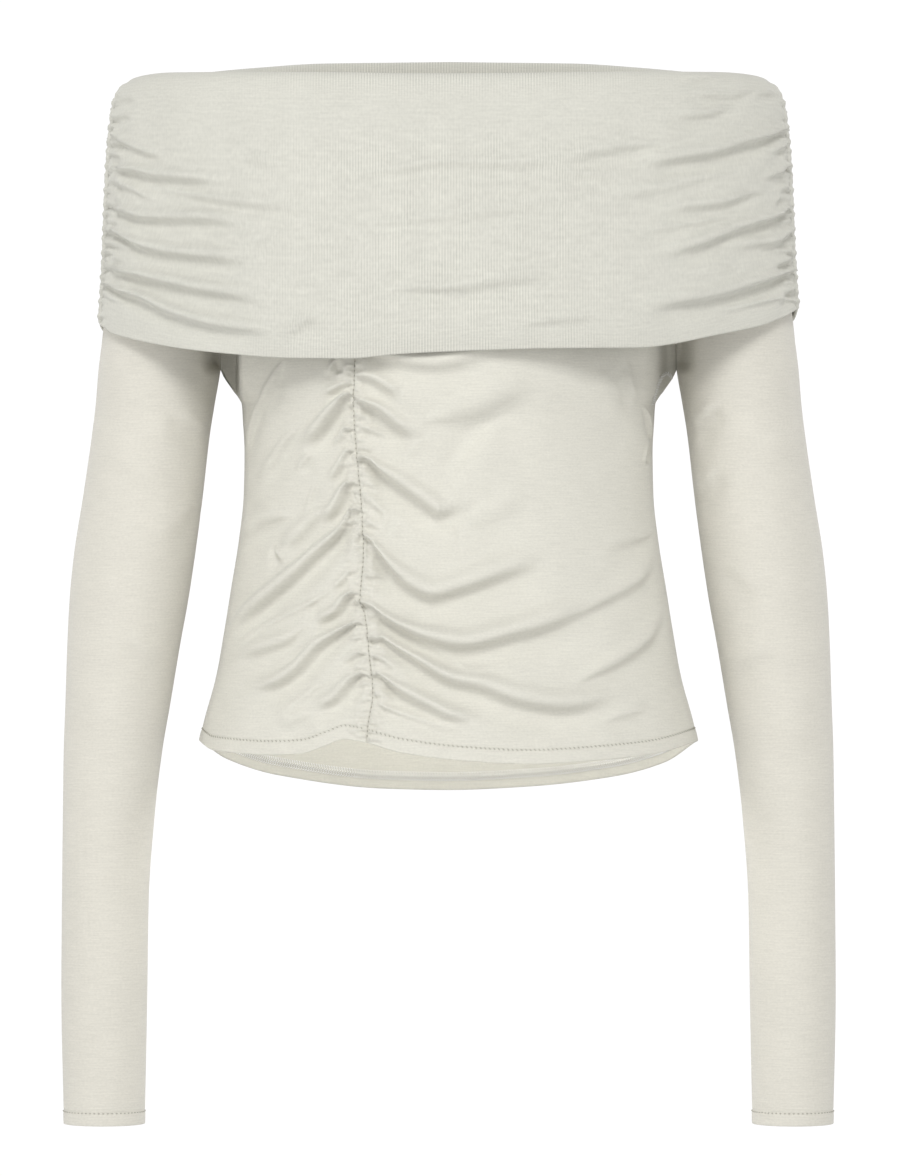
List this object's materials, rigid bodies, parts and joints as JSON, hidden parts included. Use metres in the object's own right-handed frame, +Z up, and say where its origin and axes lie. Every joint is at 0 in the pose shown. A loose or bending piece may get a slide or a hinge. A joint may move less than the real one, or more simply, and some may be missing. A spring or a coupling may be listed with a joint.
{
  "type": "off-shoulder knit top",
  "caption": "Long-sleeved off-shoulder jersey top with a deep folded collar ruched at its side seams and a ruched seam down the front, filled out as worn.",
  "frame": {"origin": "middle of the neck opening, level with the front of the collar's top edge, where the wearer's upper arms and chest hold the top up", "axes": "+Z up, +X to the viewer's right seen from the front, +Y from the front to the back"},
  "size_m": [0.4784, 0.213, 0.6629],
  "materials": {
    "body_jersey": "fine soft stone-coloured viscose jersey, matt",
    "sleeve_jersey": "the same jersey, single layer",
    "collar_jersey": "the same jersey, folded double"
  },
  "bodies": {
    "root": {"front_main_panel": "body_jersey", "front_side_panel": "body_jersey", "back_panel": "body_jersey", "sleeve_left": "sleeve_jersey", "sleeve_right": "sleeve_jersey", "collar_front": "collar_jersey", "collar_back": "collar_jersey"}
  },
  "joints": []
}
